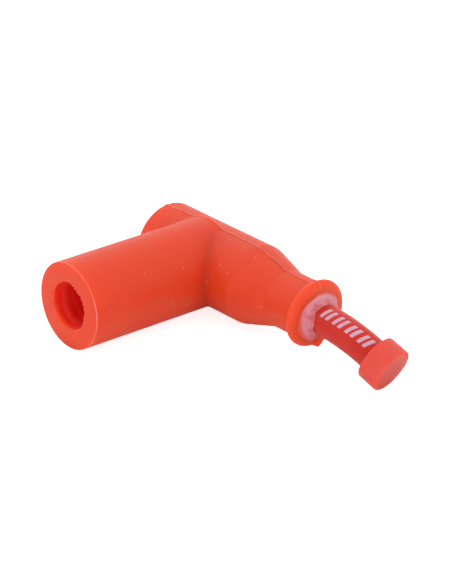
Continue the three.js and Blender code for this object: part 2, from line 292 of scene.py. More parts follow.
def read_points(piece):
    points = np.empty(len(piece.data.vertices) * 3)
    piece.data.vertices.foreach_get("co", points)
    return points.reshape(-1, 3)


def write_points(piece, points):
    piece.data.vertices.foreach_set("co", points.reshape(-1))
    piece.data.update()


ALONG_X = (0, math.pi / 2, 0)
ALONG_MINUS_X = (0, -math.pi / 2, 0)
ALONG_SOCKET = (math.pi / 2, 0, 0)


def turned(name, stations, sides, turn):
    """A turned body: a disc at the first station, then a ring extruded and scaled for each next one."""
    radius, height = stations[0]
    deselect_all()
    bpy.ops.mesh.primitive_circle_add(vertices=sides, radius=radius, fill_type="NGON", location=(0, 0, height))
    piece = bpy.context.object
    piece.name = name
    bpy.ops.object.mode_set(mode="EDIT")
    for next_radius, next_height in stations[1:]:
        step = (0, 0, next_height - height)
        bpy.ops.mesh.extrude_region_move(TRANSFORM_OT_translate={"value": step})
        share = next_radius / radius
        bpy.ops.transform.resize(value=(share, share, 1), center_override=(0, 0, next_height))
        radius, height = next_radius, next_height
    bpy.ops.object.mode_set(mode="OBJECT")
    bpy.ops.object.transform_apply(location=True, rotation=False, scale=False)
    piece.rotation_euler = turn
    bpy.ops.object.transform_apply(location=False, rotation=True, scale=False)
    face_outwards(piece)
    return piece


def lowered(piece):
    """Moves a piece of the wire leg down to that leg's own axis."""
    piece.location.z = -WIRE_LEG_DROP
    pick(piece)
    bpy.ops.object.transform_apply(location=True, rotation=False, scale=False)
    return piece


def fade(value, start, length):
    """0 up to the start, then rising to 1 over the length."""
    return np.clip((value - start) / length, 0, 1)


def waves(around, table):
    return sum(size * np.sin(count * around + phase) for size, count, phase in table)


def rounded_max(first, second, reach):
    """The larger of two values, with a rounded change-over."""
    overlap = np.maximum(reach - np.abs(first - second), 0) / reach
    return np.maximum(first, second) + overlap * overlap * reach / 4


def rounded_min(first, second, reach):
    return -rounded_max(-first, -second, reach)


# The boot

def leg_radius(x):
    """The wire leg's outer radius: plain, then the cone, then the neck, with soft changes between them."""
    cone = np.interp(x, (CONE_START - CONE_REACH, CONE_END + CONE_REACH), (
        WIRE_LEG_RADIUS + CONE_REACH * CONE_SLOPE, NECK_RADIUS - CONE_REACH * CONE_SLOPE,
    ))
    return rounded_max(rounded_min(cone, WIRE_LEG_RADIUS, CONE_START_ROUNDING), NECK_RADIUS, CONE_END_ROUNDING)


def outside_distance(points):
    """How far points lie outside the two legs, whose corner is filled with a fillet."""
    x, y, z = points.T
    socket_radius = np.interp(-y, (0, SOCKET_LENGTH), (SOCKET_ROOT_RADIUS, SOCKET_MOUTH_RADIUS))
    socket_leg = rounded_max(np.hypot(x, z) - socket_radius, y - SOCKET_BACK, STEP_ROUNDING)
    wire_leg = np.hypot(y, z + WIRE_LEG_DROP) - leg_radius(x)
    return rounded_min(socket_leg, wire_leg, LEG_FILLET)


def settle_on_legs(piece):
    """Moves each point of the remeshed legs onto their true surface."""
    points = read_points(piece)
    free = points[:, 0] < LIP_CENTRE - SETTLE_MARGIN
    free &= points[:, 0] > -CLOSED_END_LENGTH - TRIM + SETTLE_MARGIN
    free &= points[:, 1] > -SOCKET_LENGTH - TRIM + SETTLE_MARGIN
    for _ in range(SETTLE_ROUNDS):
        distance = outside_distance(points)
        slope = np.stack([
            (outside_distance(points + step) - distance) / SETTLE_PROBE for step in np.eye(3) * SETTLE_PROBE
        ], axis=1)
        slope /= np.maximum((slope ** 2).sum(axis=1, keepdims=True), SETTLE_LEAST_SLOPE)
        points[free] -= (distance[:, None] * slope)[free]
    write_points(piece, points)


def boot_legs():
    """The two legs, joined and remeshed so that the fillet between them can be drawn in their skin."""
    wire_leg = lowered(turned("boot", [
        (WIRE_LEG_RADIUS, -CLOSED_END_LENGTH - TRIM), (WIRE_LEG_RADIUS, CONE_START),
        (NECK_RADIUS, CONE_END), (NECK_RADIUS, LIP_CENTRE),
    ], LEG_SIDES, ALONG_X))
    socket_leg = turned("socket_leg", [
        (SOCKET_ROOT_RADIUS, 0), (SOCKET_MOUTH_RADIUS, SOCKET_LENGTH), (SOCKET_MOUTH_RADIUS, SOCKET_LENGTH + TRIM),
    ], LEG_SIDES, ALONG_SOCKET)
    boot = combine(wire_leg, socket_leg, "UNION")
    remesh = boot.modifiers.new("remesh", "REMESH")
    remesh.mode = "VOXEL"
    remesh.voxel_size = REMESH_SIZE
    apply_modifiers(boot)
    settle_on_legs(boot)
    return boot


def rolled_lip():
    deselect_all()
    bpy.ops.mesh.primitive_torus_add(
        major_radius=LIP_RADIUS - LIP_RADIAL_WIDTH / 2, minor_radius=LIP_RADIAL_WIDTH / 2,
        major_segments=LIP_SIDES, minor_segments=LIP_RING_SIDES,
    )
    lip = bpy.context.object
    bpy.ops.object.mode_set(mode="EDIT")
    bpy.ops.mesh.select_all(action="SELECT")
    bpy.ops.transform.resize(value=(1, 1, LIP_THICKNESS / LIP_RADIAL_WIDTH))
    bpy.ops.object.mode_set(mode="OBJECT")
    lip.rotation_euler = (0, math.pi / 2 + LIP_LEAN, 0)
    lip.location = (LIP_CENTRE, 0, -WIRE_LEG_DROP)
    bpy.ops.object.transform_apply(location=True, rotation=True, scale=False)
    return lip


def plate(name, outline, thickness, rounding):
    """A thin upright plate in the parting plane, from its outline, with rounded edges."""
    deselect_all()
    bpy.ops.mesh.primitive_circle_add(vertices=len(outline), radius=1, fill_type="NGON")
    piece = bpy.context.object
    piece.name = name
    write_points(piece, np.array([(x, -thickness / 2, z) for x, z in outline]))
    bpy.ops.object.mode_set(mode="EDIT")
    bpy.ops.mesh.select_all(action="SELECT")
    bpy.ops.mesh.extrude_region_move(TRANSFORM_OT_translate={"value": (0, thickness, 0)})
    bpy.ops.object.mode_set(mode="OBJECT")
    face_outwards(piece)
    round_edges(piece, rounding, segments=2)
    return piece


def fin_outline(x, side):
    """The moulding fin's outline above (side 1) or below (side -1): a little over the boot's own outline."""
    drop = side * WIRE_LEG_DROP
    quick, slow = FIN_WAVE_RATES
    wave = FIN_WAVE * np.sin(quick * x + 2 * side) * np.sin(slow * x + side)
    socket = np.sqrt(np.maximum(SOCKET_ROOT_RADIUS ** 2 - x ** 2, 0))
    body = rounded_max(socket, leg_radius(x) - drop, FIN_ELBOW_ROUNDING) + FIN_HEIGHT + wave
    across = (x - LIP_CENTRE) / (LIP_THICKNESS / 2 + FIN_PAST_LIP)
    lip = (LIP_RADIUS + FIN_OVER_LIP) * np.sqrt(np.maximum(1 - across ** 2, 0)) - drop
    past_end = np.clip(-x - CLOSED_END_LENGTH + FIN_END, 0, None)
    return np.maximum(body - past_end ** 2 * FIN_END_FALL, lip)


def moulding_fin():
    """The thin fin that the mould's two halves leave all round the boot, kept above the table."""
    front = LIP_CENTRE + LIP_THICKNESS / 2
    x = np.linspace(-CLOSED_END_LENGTH - FIN_END, front, FIN_POINTS)
    table = (-ELBOW.translation.z / MM - x * ELBOW[2][0]) / ELBOW[2][2]
    top = list(zip(x, fin_outline(x, 1)))
    bottom = list(zip(x, np.maximum(-fin_outline(x, -1), table)))[::-1]
    nose, height = FIN_NOSE
    outline = top + [(front + nose, height), (front + nose, -height)] + bottom
    return plate("fin", outline, FIN_THICKNESS, FIN_ROUNDING)


def parting_drift(x):
    """How far the parting line strays from the middle plane, in millimetres towards +Y."""
    by_closed_end = fade(-x, -DRIFT_END_START, DRIFT_END_LENGTH)
    from_centre = np.abs(x - DRIFT_CONE_CENTRE)
    on_cone = np.clip((DRIFT_CONE_WIDTH / 2 - from_centre) / DRIFT_CONE_SOFTNESS + 0.5, 0, 1)
    return on_cone * DRIFT_ON_CONE - by_closed_end * DRIFT_AT_CLOSED_END


def drift_parting_line(boot):
    """Slides the skin beside the parting line round the wire leg, so that the fin strays with it."""
    points = read_points(boot)
    x, y, z = points.T
    height = z + WIRE_LEG_DROP
    radius = np.hypot(y, height)
    in_skin = fade(radius, DRIFT_SKIN_RADIUS, DRIFT_SKIN_SOFTNESS)
    moved = y + parting_drift(x) * np.exp(-(y / DRIFT_SPREAD) ** 2) * in_skin
    inside = np.abs(moved) < radius
    slid = np.sign(height) * np.sqrt(np.where(inside, radius ** 2 - moved ** 2, 0))
    points[:, 2] = np.where(inside, slid, height) - WIRE_LEG_DROP
    points[:, 1] = np.where(inside, moved, y)
    write_points(boot, points)


def end_cutter(name, rounding, radius, depth, turn):
    """A cutter that leaves a flat end with a rounded rim on a leg."""
    rim = [
        (radius - rounding * (1 - math.sin(angle)), depth - rounding * (1 - math.cos(angle)))
        for angle in np.linspace(0, math.pi / 2, TOOL_RIM_POINTS)
    ]
    below, outer = TOOL_STEPS
    return turned(name, rim + [
        (radius + TOOL_CLEARANCE, depth - below * rounding), (radius + TOOL_OVERHANG, depth - outer * rounding),
        (radius + TOOL_OVERHANG, depth + 2 * TRIM),
    ], TOOL_SIDES, turn)


def socket_bore():
    """The cutter of the open bore, whose mouth keeps a few torn nicks of silicone."""
    bore = turned("bore", BORE_STATIONS, BORE_SIDES, ALONG_SOCKET)
    points = read_points(bore)
    at_mouth = fade(-points[:, 1], SOCKET_LENGTH - NICK_LENGTH, NICK_FADE)
    around = np.arctan2(points[:, 2], points[:, 0])
    inwards = np.zeros(len(points))
    for angle, height in NICKS:
        inwards += (height + NICK_BASE) * np.exp(-((around - angle) / NICK_WIDTH) ** 2)
    share = 1 - inwards * at_mouth / BORE_RADIUS
    points[:, 0] *= share
    points[:, 2] *= share
    write_points(bore, points)
    return bore


def core_room():
    """The room in the elbow for the hard core."""
    along_wire = turned("room", [
        (CORE_ROOM_RADIUS, -CORE_ROOM_BACK), (CORE_ROOM_RADIUS, CORE_ROOM_FRONT),
    ], ROOM_SIDES, ALONG_X)
    along_socket = turned("room_socket", [
        (CORE_ROOM_RADIUS, 0), (CORE_ROOM_RADIUS, CORE_ROOM_DEPTH),
    ], ROOM_SIDES, ALONG_SOCKET)
    return combine(along_wire, along_socket, "UNION")


def make_boot():
    boot = boot_legs()
    closed_end = end_cutter("closed_end", CLOSED_END_RIM, WIRE_LEG_RADIUS, CLOSED_END_LENGTH, ALONG_MINUS_X)
    combine(boot, lowered(closed_end), "DIFFERENCE")
    flash = combine(moulding_fin(), plate("tag", TAG_OUTLINE, TAG_THICKNESS, TAG_ROUNDING), "UNION")
    combine(boot, combine(rolled_lip(), flash, "UNION"), "UNION")
    cut = socket_bore()
    combine(cut, end_cutter("mouth", MOUTH_RIM, SOCKET_MOUTH_RADIUS, SOCKET_LENGTH, ALONG_SOCKET), "UNION")
    combine(cut, core_room(), "UNION")
    combine(cut, bent(straight_rod("tunnel", WIRE_RADIUS + TUNNEL_GAP)), "UNION")
    combine(boot, cut, "DIFFERENCE")
    face_outwards(boot)
    drift_parting_line(boot)
    set_down(boot)
    smooth(boot, angle=32)
    return boot


# The wire

def wire_line(count):
    """Even points on the smooth line through the wire's route, and how far along it they lie."""
    knots = np.array(WIRE_ROUTE, dtype=float)
    padded = np.vstack([2 * knots[0] - knots[1], knots, 2 * knots[-1] - knots[-2]])
    fine = []
    for before, start, end, after in zip(padded, padded[1:], padded[2:], padded[3:]):
        t = np.linspace(0, 1, KNOT_STEPS, endpoint=False)[:, None]
        fine.append(0.5 * (
            2 * start + (end - before) * t + (2 * before - 5 * start + 4 * end - after) * t ** 2
            + (3 * start - before - 3 * end + after) * t ** 3
        ))
    fine = np.vstack(fine + [knots[-1:]])
    along = np.concatenate([[0], np.cumsum(np.linalg.norm(np.diff(fine, axis=0), axis=1))])
    even = np.linspace(0, along[-1], count)
    line = np.stack([np.interp(even, along, fine[:, axis]) for axis in range(3)], axis=1)
    return line, even


def wire_end():
    """Where the wire ends, and which way it points there."""
    line, _ = wire_line(ROUTE_STEPS)
    return line[-1], Vector(line[-1] - line[-3]).normalized()


def straight_rod(name, radius):
    """A rod along X as long as the wire, in short steps so that it can bend."""
    length = wire_line(ROUTE_STEPS)[1][-1]
    stations = [(radius, height) for height in np.linspace(0, length, WIRE_STEPS)]
    return turned(name, stations, WIRE_SIDES, ALONG_X)


def bent(piece):
    """Bends a piece that lies straight along X onto the wire's route."""
    route = bpy.data.curves.new("wire_route", "CURVE")
    route.dimensions = "3D"
    route.twist_mode = "Z_UP"
    line, _ = wire_line(WIRE_STEPS)
    spline = route.splines.new("POLY")
    spline.points.add(len(line) - 1)
    for point, position in zip(spline.points, line):
        point.co = (*position, 1)
    guide = bpy.data.objects.new("wire_route", route)
    bpy.context.scene.collection.objects.link(guide)
    bend = piece.modifiers.new("bend", "CURVE")
    bend.object = guide
    bend.deform_axis = "POS_X"
    apply_modifiers(piece)
    bpy.data.objects.remove(guide)
    return piece


def make_wire():
    """The wire's jacket, which remembers its unbent places for the print on it."""
    wire = straight_rod("ignition_wire", WIRE_RADIUS)
    combine(wire, straight_rod("wire_hollow", WIRE_RADIUS - WIRE_WALL), "DIFFERENCE")
    unbent = wire.data.attributes.new("unbent", "FLOAT_VECTOR", "POINT")
    unbent.data.foreach_set("vector", read_points(wire).reshape(-1))
    bent(wire)
    set_down(wire)
    smooth(wire, angle=40)
    return wire


def make_sealant():
    """The smeared ring of sealant between the lip and the wire."""
    sealant = turned("sealant_ring", SEALANT_STATIONS, SEALANT_SIDES, ALONG_X)
    points = read_points(sealant)
    around = np.arctan2(points[:, 1], points[:, 2])
    radius = np.hypot(points[:, 1], points[:, 2])
    at_rim = fade(radius, *SEALANT_RIM_FADE)
    share = 1 + waves(around, SEALANT_RIM_WAVES) * at_rim / radius
    points[:, 1] *= share
    points[:, 2] *= share
    on_wire = fade(points[:, 0], *SEALANT_CLIMB_FADE)
    points[:, 0] += waves(around, SEALANT_CLIMB_WAVES) * on_wire
    lumps = np.sin(9 * around + 3 * radius) * np.sin(4 * around + 1.3) + 0.7 * np.sin(5 * around - 4 * radius)
    on_face = fade(points[:, 0], *SEALANT_FACE_FADE) * fade(radius, *SEALANT_INNER_FADE)
    points[:, 0] += SEALANT_LUMP * lumps * on_face
    lean = Matrix.Rotation(LIP_LEAN, 3, "Y")
    points = points @ np.array(lean).T + np.array((LIP_CENTRE, 0, -SEALANT_DROP))
    write_points(sealant, points)
    set_down(sealant)
    smooth(sealant, angle=60)
    return sealant


def make_end_cap():
    """The cup on the wire's end, with softly rounded edges."""
    position, direction = wire_end()
    face = END_CAP_GAP + END_CAP_FLOOR
    rim = face - END_CAP_LENGTH
    cap = turned("tail_cap", [
        (END_CAP_RADIUS, face), (END_CAP_RADIUS, rim), (END_CAP_BORE, rim), (END_CAP_BORE, END_CAP_GAP),
    ], END_CAP_SIDES, ALONG_X)
    round_edges(cap, END_CAP_EDGE, segments=4)
    turn = Vector((1, 0, 0)).rotation_difference(direction).to_matrix().to_4x4()
    cap.matrix_world = Matrix.Translation(position) @ turn
    pick(cap)
    bpy.ops.object.transform_apply(location=True, rotation=True, scale=False)
    set_down(cap)
    smooth(cap, angle=40)
    return cap


# Shader nodes

def place(tree, kind, values=(), **settings):
    """Adds a node, sets its inputs to numbers or links them to other nodes' outputs, and returns it."""
    item = tree.nodes.new(kind)
    for name, value in settings.items():
        setattr(item, name, value)
    for socket, value in dict(values).items():
        if isinstance(value, bpy.types.NodeSocket):
            tree.links.new(value, item.inputs[socket])
        else:
            item.inputs[socket].default_value = value
    return item


def maths(tree, operation, *values, clamp=False):
    return place(tree, "ShaderNodeMath", enumerate(values), operation=operation, use_clamp=clamp).outputs[0]


def product(tree, first, *others):
    for other in others:
        first = maths(tree, "MULTIPLY", first, other)
    return first


def ramp(tree, value, start, slope):
    """0 up to the start, then rising by the slope to 1. A negative slope rises towards lower values."""
    return maths(tree, "MULTIPLY", maths(tree, "SUBTRACT", value, start), slope, clamp=True)


def blend(tree, factor, first, second):
    """One colour where the factor is 0 and another where it is 1."""
    first, second = (
        colour if isinstance(colour, bpy.types.NodeSocket) else (*colour, 1.0) for colour in (first, second)
    )
    mix = place(tree, "ShaderNodeMix", {0: factor, 6: first, 7: second}, data_type="RGBA")
    return mix.outputs[2]


def tint(tree, colour, tone, *masks):
    """A colour that turns to a tone where all the masks are 1."""
    return blend(tree, product(tree, *masks), colour, tone)


def new_group(name, inputs, output):
    """A shader group with named inputs (name, kind, value) and one named output that is a number."""
    group = bpy.data.node_groups.new(name, "ShaderNodeTree")
    for label, socket, value in inputs:
        item = group.interface.new_socket(label, in_out="INPUT", socket_type=socket)
        if value is not None:
            item.default_value = value
    group.interface.new_socket(output, in_out="OUTPUT", socket_type="NodeSocketFloat")
    return group, group.nodes.new("NodeGroupInput").outputs, group.nodes.new("NodeGroupOutput").inputs[0]


def use_group(tree, group, **values):
    labelled = {label.replace("_", " ").title(): value for label, value in values.items()}
    return place(tree, "ShaderNodeGroup", labelled, node_tree=group).outputs[0]


def mottle_group():
    """Soft cloudy changes, as in a moulded rubber's pigment."""
    group, start, end = new_group("soft_mottle", [
        ("Vector", "NodeSocketVector", None), ("Scale", "NodeSocketFloat", 0.3), ("Contrast", "NodeSocketFloat", 1.0),
    ], "Amount")
    noise = place(group, "ShaderNodeTexNoise", {
        "Vector": start["Vector"], "Scale": start["Scale"], "Detail": 3.0, "Roughness": 0.55,
    })
    centred = maths(group, "SUBTRACT", noise.outputs["Fac"], 0.5)
    stretched = maths(group, "MULTIPLY", centred, start["Contrast"])
    group.links.new(maths(group, "ADD", stretched, 0.5, clamp=True), end)
    return group


def grain_group():
    """The fine unevenness of a matt moulded skin, as a height."""
    group, start, end = new_group("fine_grain", [
        ("Vector", "NodeSocketVector", None), ("Scale", "NodeSocketFloat", 4.0),
    ], "Height")
    fine = place(group, "ShaderNodeTexNoise", {
        "Vector": start["Vector"], "Scale": start["Scale"], "Detail": 4.0, "Roughness": 0.65,
    })
    broad = place(group, "ShaderNodeTexNoise", {"Vector": start["Vector"], "Scale": 0.35, "Detail": 1.0})
    low = maths(group, "MULTIPLY", broad.outputs["Fac"], 1.6)
    group.links.new(maths(group, "ADD", fine.outputs["Fac"], low), end)
    return group


def dust_group():
    """Scattered small specks: a few cells of a cell pattern each carry one."""
    group, start, end = new_group("dust_specks", [
        ("Vector", "NodeSocketVector", None), ("Spacing", "NodeSocketFloat", 3.0),
        ("Size", "NodeSocketFloat", 0.2), ("Share", "NodeSocketFloat", 0.15),
    ], "Mask")
    scale = maths(group, "DIVIDE", 1.0, start["Spacing"])
    cells = place(group, "ShaderNodeTexVoronoi", {"Vector": start["Vector"], "Scale": scale})
    reach = maths(group, "MULTIPLY", start["Size"], scale)
    near = maths(group, "DIVIDE", cells.outputs["Distance"], reach)
    spot = maths(group, "SUBTRACT", 1.6, near, clamp=True)
    chance = place(group, "ShaderNodeSeparateColor", {"Color": cells.outputs["Color"]})
    chosen = maths(group, "LESS_THAN", chance.outputs[0], start["Share"])
    group.links.new(maths(group, "MULTIPLY", spot, chosen), end)
    return group


def speck_group():
    """One soft spot round a point."""
    group, start, end = new_group("one_speck", [
        ("Vector", "NodeSocketVector", None), ("Centre", "NodeSocketVector", None), ("Size", "NodeSocketFloat", 0.3),
    ], "Mask")
    apart = place(group, "ShaderNodeVectorMath", {0: start["Vector"], 1: start["Centre"]}, operation="DISTANCE")
    near = maths(group, "DIVIDE", apart.outputs["Value"], start["Size"])
    group.links.new(maths(group, "SUBTRACT", 1.5, near, clamp=True), end)
    return group


def line_group():
    """A soft-edged line where a value is close to its centre."""
    group, start, end = new_group("soft_line", [
        ("Value", "NodeSocketFloat", 0.0), ("Centre", "NodeSocketFloat", 0.0),
        ("Width", "NodeSocketFloat", 1.0), ("Softness", "NodeSocketFloat", 0.3),
    ], "Mask")
    apart = maths(group, "ABSOLUTE", maths(group, "SUBTRACT", start["Value"], start["Centre"]))
    inside = maths(group, "SUBTRACT", maths(group, "MULTIPLY", start["Width"], 0.5), apart)
    soft = maths(group, "DIVIDE", inside, start["Softness"])
    group.links.new(maths(group, "ADD", soft, 0.5, clamp=True), end)
    return group


MOTTLE, GRAIN, DUST, SPECK, LINE = mottle_group(), grain_group(), dust_group(), speck_group(), line_group()


def boot_places(tree):
    """Places in the boot's own frame, in millimetres, and their three parts."""
    texture = place(tree, "ShaderNodeTexCoord")
    mapping = place(tree, "ShaderNodeMapping", {
        "Vector": texture.outputs["Object"], "Location": ELBOW.translation, "Rotation": ELBOW.to_euler(),
        "Scale": (MM, MM, MM),
    }, vector_type="TEXTURE")
    parts = place(tree, "ShaderNodeSeparateXYZ", {0: mapping.outputs[0]})
    return mapping.outputs[0], parts.outputs


def length_of(tree, first, second):
    """The distance from an axis, from the two parts across it."""
    pair = place(tree, "ShaderNodeCombineXYZ", {0: first, 1: second})
    return place(tree, "ShaderNodeVectorMath", {0: pair.outputs[0]}, operation="LENGTH").outputs["Value"]


def new_material(name, roughness, **values):
    """A material with its surface shader, whose even values are set on the shader itself."""
    material = bpy.data.materials.new(name)
    material.use_nodes = True
    surface = material.node_tree.nodes["Principled BSDF"]
    surface.inputs["Roughness"].default_value = roughness
    for socket, value in values.items():
        surface.inputs[socket.replace("_", " ")].default_value = value
    return material, material.node_tree, surface


def finish_surface(tree, surface, colour, cloud, gloss, grain, matt=None):
    """Links the colour, the uneven gloss and the fine grain.

    The gloss is (change with the clouds, base), the grain (place, scale, strength, depth), and what the
    matt mask covers is rougher.
    """
    tree.links.new(colour, surface.inputs["Base Color"])
    change, base = gloss
    rough = maths(tree, "MULTIPLY_ADD", cloud, change, base)
    if matt is not None:
        rough = maths(tree, "ADD", rough, product(tree, matt, MATT_CHANGE))
    tree.links.new(rough, surface.inputs["Roughness"])
    point, scale, strength, depth = grain
    add_bump(tree, surface, use_group(tree, GRAIN, vector=point, scale=scale), strength, depth)


def add_bump(tree, surface, height, strength, distance):
    bump = place(tree, "ShaderNodeBump", {"Height": height, "Strength": strength, "Distance": distance})
    tree.links.new(bump.outputs[0], surface.inputs["Normal"])


SILICONE = {
    "IOR": 1.41, "Subsurface_Weight": 1.0, "Subsurface_Radius": (1.0, 0.06, 0.03), "Subsurface_Scale": 0.004,
    "Sheen_Weight": 0.05, "Sheen_Roughness": 0.4, "Sheen_Tint": (1.0, 0.75, 0.75, 1.0),
}
GRAIN_DEPTH = 0.00004
MATT_CHANGE = 0.2

# Tones, in linear red, green and blue
PIGMENT_TONES = ((0.775, 0.055, 0.009), (0.8, 0.064, 0.012))
# Painted light and shade: the next nine tones, from the underside's to the bore's deepest, stand in for light and shade
# on the red silicone
UNDERSIDE_PAINTED_LIGHT = (0.88, 0.072, 0.014)
LIP_PAINTED_LIGHT = (0.89, 0.082, 0.018)
CREASE_PAINTED_SHADE = (0.56, 0.018, 0.002)
GROOVE_PAINTED_SHADE = (0.78, 0.034, 0.003)
RIDGE_PAINTED_HIGHLIGHT = (0.88, 0.22, 0.17)
RIM_PAINTED_HIGHLIGHTS = ((0.9, 0.36, 0.32), (0.93, 0.22, 0.14))
BORE_BAND_PAINTED_LIGHT = (0.93, 0.07, 0.022)
BORE_PAINTED_LIGHT = (0.92, 0.042, 0.028)
BORE_DEEP_PAINTED_LIGHT = (0.98, 0.025, 0.022)
MOUTH_INNER_EDGE_TONE = (0.9, 0.34, 0.3)
DUST_TONE = (0.88, 0.38, 0.3)
STAIN_TONE = (0.62, 0.02, 0.005)
WIRE_TONES = ((0.68, 0.018, 0.007), (0.71, 0.025, 0.011))
WIRE_DUST_TONE = (0.75, 0.3, 0.25)
PRINT_TONE = (0.78, 0.47, 0.6)
END_CAP_TONES = ((0.79, 0.07, 0.045), (0.83, 0.09, 0.06))
END_CAP_DUST_TONE = (0.85, 0.35, 0.28)
SEALANT_TONES = ((0.73, 0.1, 0.14), (0.78, 0.3, 0.37))
SEALANT_STREAK_TONE = (0.82, 0.46, 0.53)
SEALANT_INNER_TONES = ((0.62, 0.05, 0.055), (0.72, 0.18, 0.22))
SEALANT_EDGE_TONE = (0.86, 0.08, 0.035)

# Dust and stains on the boot, as places and sizes in millimetres
SPECKS = [
    ((8.34, -13.88, 4.82), 0.24), ((7.51, -23.69, 6.03), 0.16), ((9.52, -17.74, -1.5), 0.26),
    ((12.3, -7.12, 4.99), 0.26), ((15.23, -7.63, 4.22), 0.26), ((10.06, -8.82, 0.64), 0.24),
    ((18.55, -2.73, 7.46), 0.26), ((24.96, -6.44, -0.57), 0.24),
]
STAINS = [((3.3, -21.35, 9.05), 0.32), ((26.66, -4.49, -4.72), 0.3)]


def crease_shade(tree, x, y, from_socket_axis, from_wire_axis):
    """Painted shade in the crease where the two legs meet, on the side where they face each other."""
    off_socket_leg = maths(tree, "ABSOLUTE", maths(tree, "SUBTRACT", from_socket_axis, SOCKET_ROOT_RADIUS))
    off_wire_leg = maths(tree, "ABSOLUTE", maths(tree, "SUBTRACT", from_wire_axis, WIRE_LEG_RADIUS))
    in_crease = maths(tree, "ADD", off_socket_leg, off_wire_leg)
    broad = use_group(tree, LINE, value=in_crease, centre=0.0, width=1.6, softness=6.5)
    narrow = use_group(tree, LINE, value=in_crease, centre=0.0, width=0.6, softness=1.6)
    dim = maths(tree, "ADD", product(tree, broad, 0.42), product(tree, narrow, 0.14))
    in_front = product(tree, ramp(tree, y, start=0.0, slope=-0.3), ramp(tree, x, start=0.0, slope=0.3))
    return product(tree, dim, in_front)


def parting_line_light_and_shade(tree, point, x, y, from_wire_axis):
    """A painted highlight along the fin's ridge and a painted shade in the groove beside it, each as a mask."""
    wobble = use_group(tree, MOTTLE, vector=point, scale=0.6, contrast=0.25)
    by_closed_end = ramp(tree, x, start=DRIFT_END_START, slope=-1 / DRIFT_END_LENGTH)
    on_cone = use_group(tree, LINE, value=x, centre=DRIFT_CONE_CENTRE, width=DRIFT_CONE_WIDTH,
                        softness=DRIFT_CONE_SOFTNESS)
    strayed = maths(tree, "ADD", product(tree, by_closed_end, DRIFT_AT_CLOSED_END),
                    product(tree, on_cone, -DRIFT_ON_CONE))
    across = maths(tree, "ADD", maths(tree, "ADD", y, strayed), maths(tree, "SUBTRACT", wobble, 0.5))
    on_skin = ramp(tree, from_wire_axis, start=5.9, slope=5.0)
    on_closed_end = ramp(tree, x, start=0.25 - CLOSED_END_LENGTH, slope=-4.0)
    outside = maths(tree, "MAXIMUM", on_skin, on_closed_end)
    groove_shade = use_group(tree, LINE, value=across, centre=-0.32, width=0.34, softness=0.25)
    ridge_highlight = use_group(tree, LINE, value=across, centre=0.02, width=0.32, softness=0.14)
    fainter_forward = maths(tree, "ADD", product(tree, x, -0.008), 0.84, clamp=True)
    return product(tree, ridge_highlight, product(tree, outside, fainter_forward)), product(tree, groove_shade, outside, 0.4)


def rim_highlight(tree, point, at_mouth, from_socket_axis):
    """A painted highlight along the mouth's outer edge, uneven in patches."""
    near_rim = use_group(tree, LINE, value=from_socket_axis, centre=SOCKET_MOUTH_RADIUS - 0.04, width=0.16,
                         softness=0.1)
    uneven = use_group(tree, MOTTLE, vector=point, scale=0.25, contrast=2.5)
    return product(tree, near_rim, at_mouth, maths(tree, "ADD", uneven, 0.25, clamp=True))


